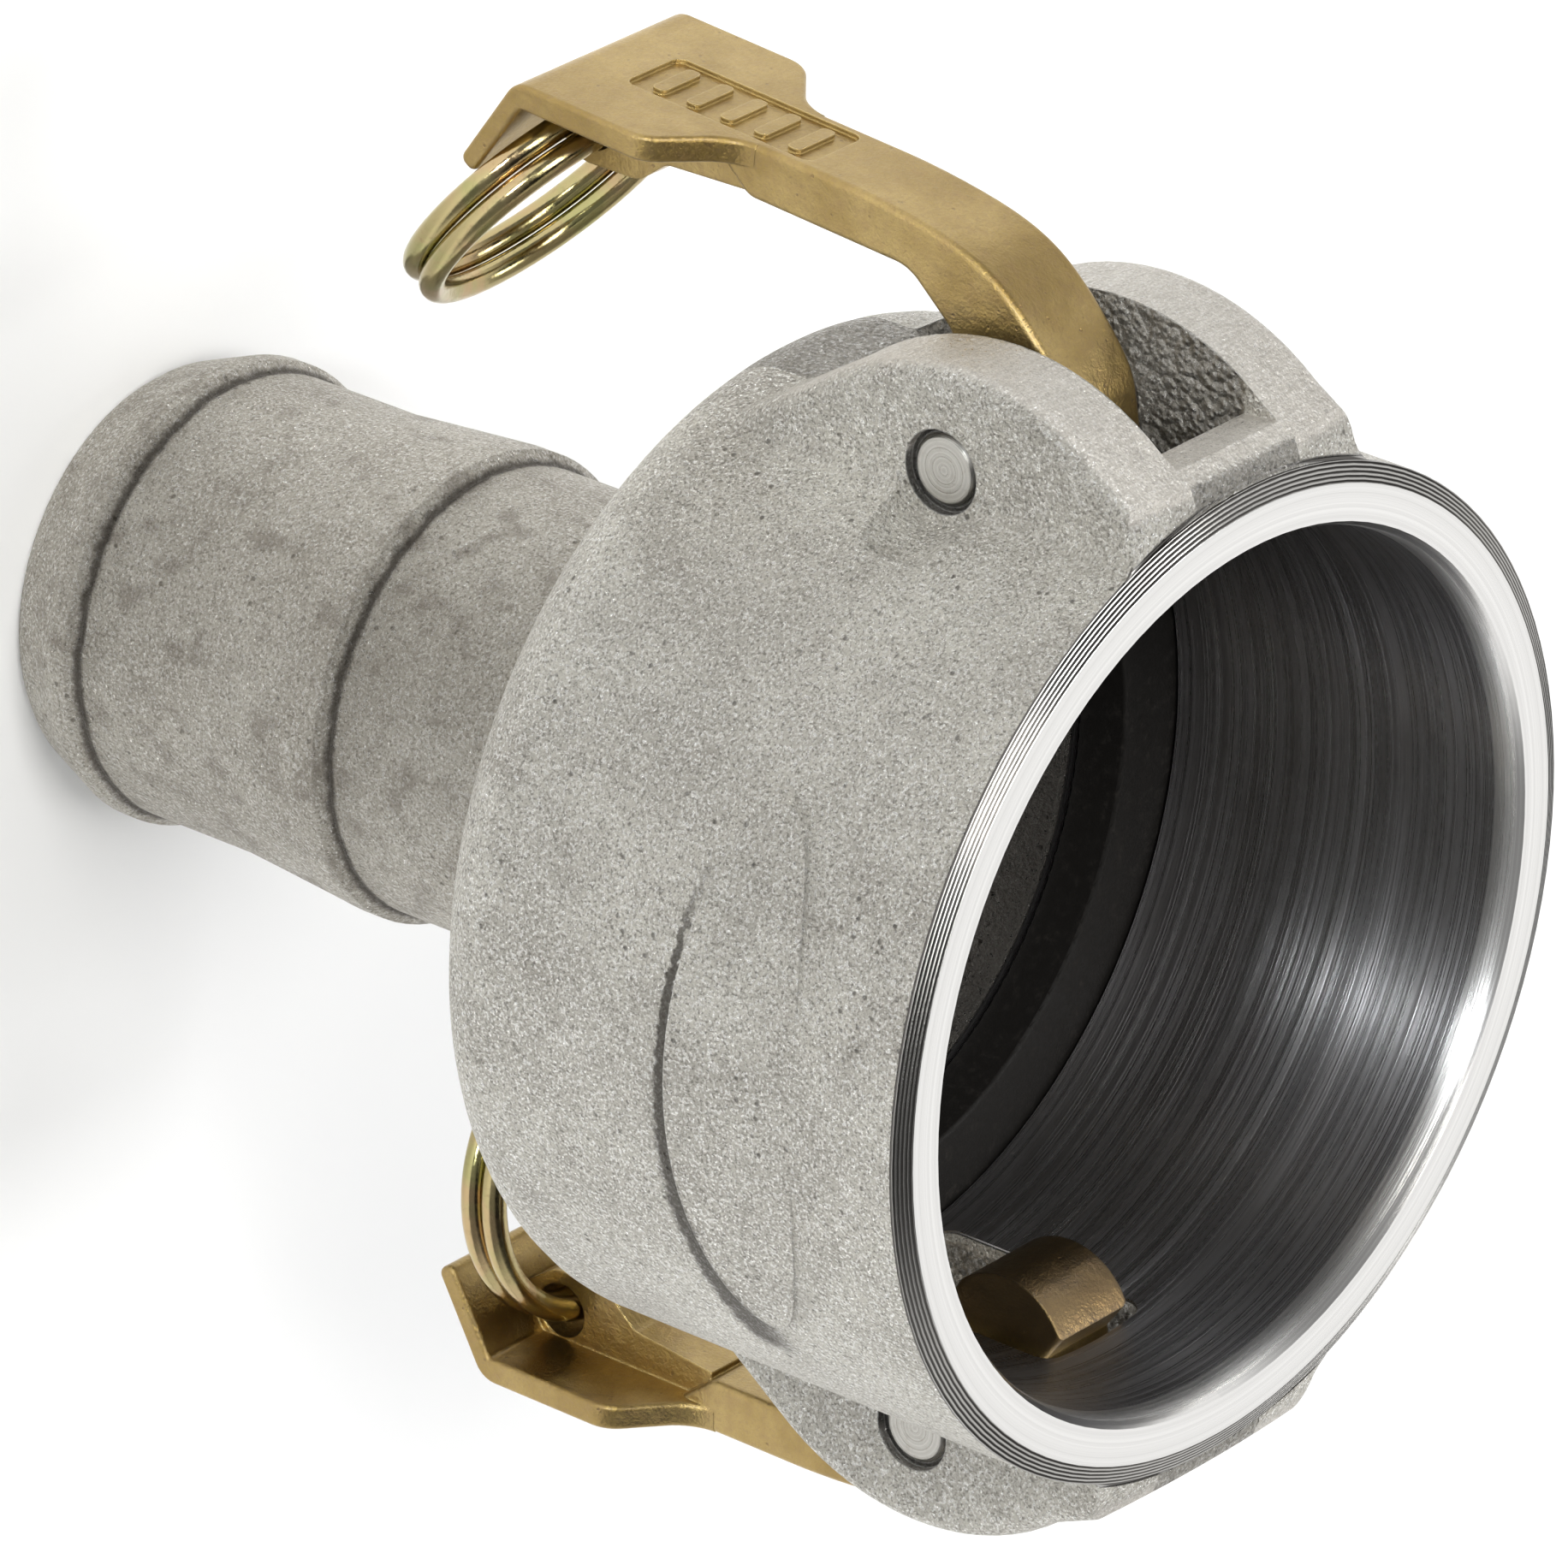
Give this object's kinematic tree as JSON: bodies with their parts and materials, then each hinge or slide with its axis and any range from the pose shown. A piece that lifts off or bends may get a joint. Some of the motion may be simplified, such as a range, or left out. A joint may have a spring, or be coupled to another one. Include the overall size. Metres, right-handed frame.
{
  "type": "camlock coupling",
  "caption": "Cast cam-and-groove hose coupler: wide gasketed socket with hinged cam levers and finger rings, narrowing to a barbed hose shank.",
  "frame": {"origin": "flow axis at the end face of the hose shank", "axes": "+Z along the flow axis from the hose end to the socket mouth, +X through the right-hand lever's pivot pin"},
  "size_m": [0.1465, 0.1074, 0.1425],
  "materials": {
    "cast_aluminium": "sand cast, with machined mouth and bore",
    "gasket_rubber": "matte",
    "pin_steel": "turned ends",
    "lever_brass": "satin, tumbled forging",
    "ring_plated": "bright, yellow zinc plated wire"
  },
  "bodies": {
    "body": {"body": "cast_aluminium", "gasket": "gasket_rubber", "pivot_pin_left": "pin_steel", "pivot_pin_right": "pin_steel"},
    "lever_left": {"cam_arm_left": "lever_brass"},
    "lever_right": {"cam_arm_right": "lever_brass"},
    "ring_left": {"finger_ring_left": "ring_plated"},
    "ring_right": {"finger_ring_right": "ring_plated"}
  },
  "joints": [
    {"name": "lever_left", "type": "hinge", "parent": "body", "child": "lever_left", "pos_m": [-0.05285, 0, 0.117], "axis": [0, 1, 0], "range_deg": [0, 100]},
    {"name": "lever_right", "type": "hinge", "parent": "body", "child": "lever_right", "pos_m": [0.05285, 0, 0.117], "axis": [0, -1, 0], "range_deg": [0, 104]},
    {"name": "ring_left", "type": "hinge", "parent": "lever_left", "child": "ring_left", "pos_m": [-0.06945, 0, 0.0608], "axis": [0, -1, 0], "range_deg": [0, 66]},
    {"name": "ring_right", "type": "hinge", "parent": "lever_right", "child": "ring_right", "pos_m": [0.06489, 0, 0.05965], "axis": [0, 1, 0], "range_deg": [-30, 36]}
  ]
}
